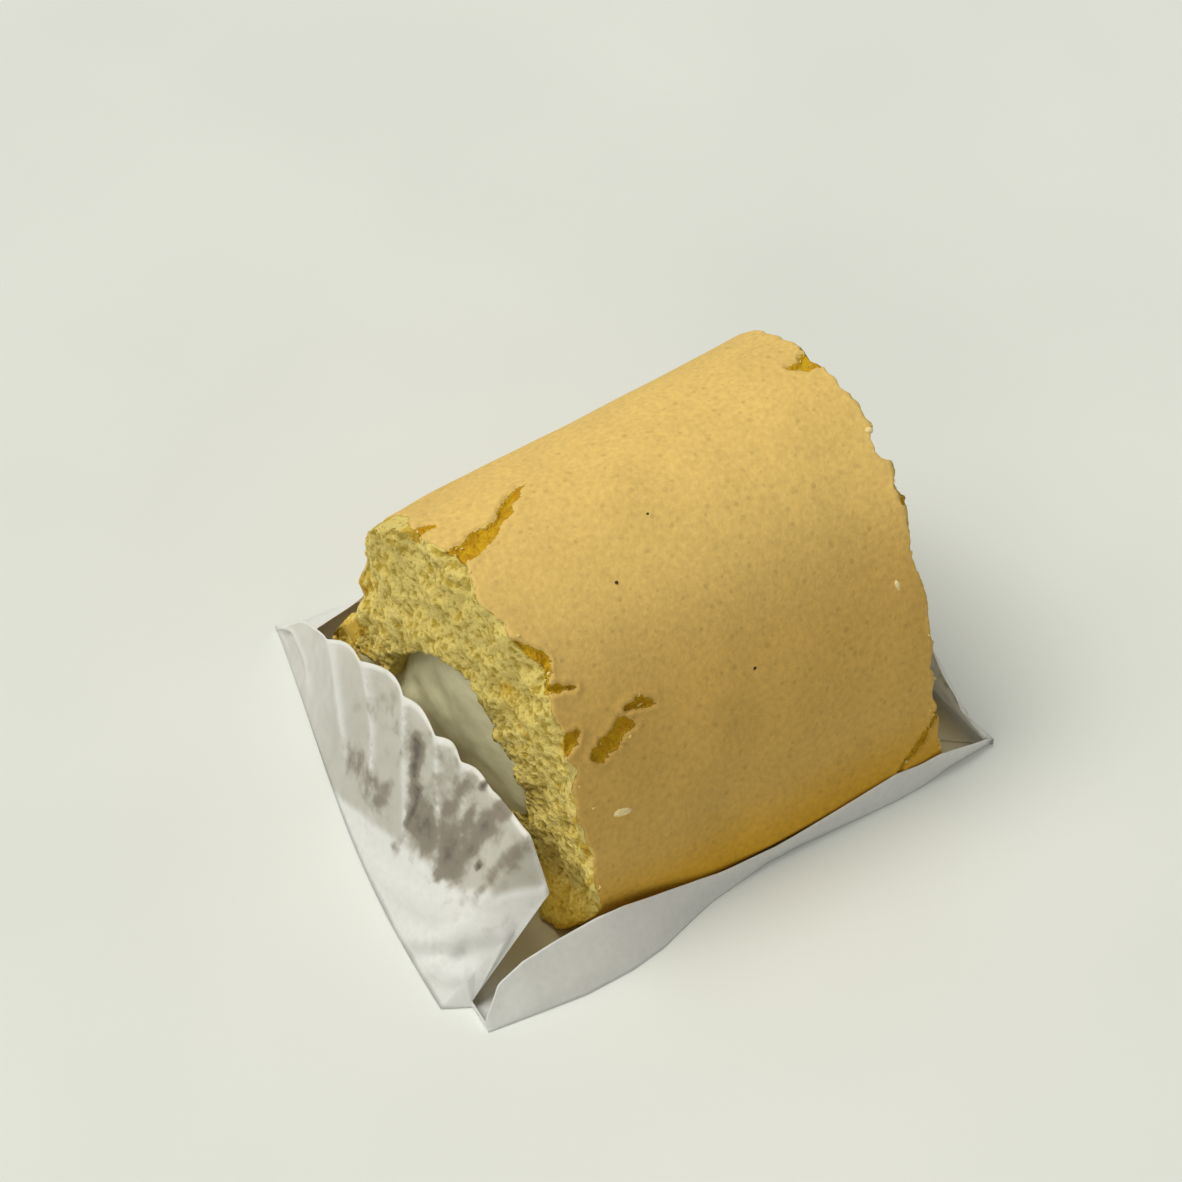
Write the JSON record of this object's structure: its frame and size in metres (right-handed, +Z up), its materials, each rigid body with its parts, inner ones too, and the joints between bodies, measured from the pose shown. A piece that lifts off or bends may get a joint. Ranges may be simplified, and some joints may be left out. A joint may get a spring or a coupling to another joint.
{
  "type": "swiss roll slice",
  "caption": "Slice of golden swiss roll: a sponge sheet rolled round pale cream, torn skin and cut ends showing crumb, standing in a white pleated paper case.",
  "frame": {"origin": "middle of the underside of the bounding box, on the ground under the paper case", "axes": "+Z up; Y along the roll's axis, with the front cut end and the higher pleated wall facing -Y; +X across the roll, towards the long side with the low plain paper wall"},
  "size_m": [0.0876, 0.0974, 0.0562],
  "materials": {
    "sponge": "matte baked sponge, golden tan skin over pale yellow crumb",
    "cream": "smooth soft cream, greyish white, slightly translucent",
    "paper": "thin white greaseproof paper with grease stains"
  },
  "bodies": {
    "root": {"sponge_roll": "sponge", "cream_filling": "cream", "paper_case": "paper"}
  },
  "joints": []
}
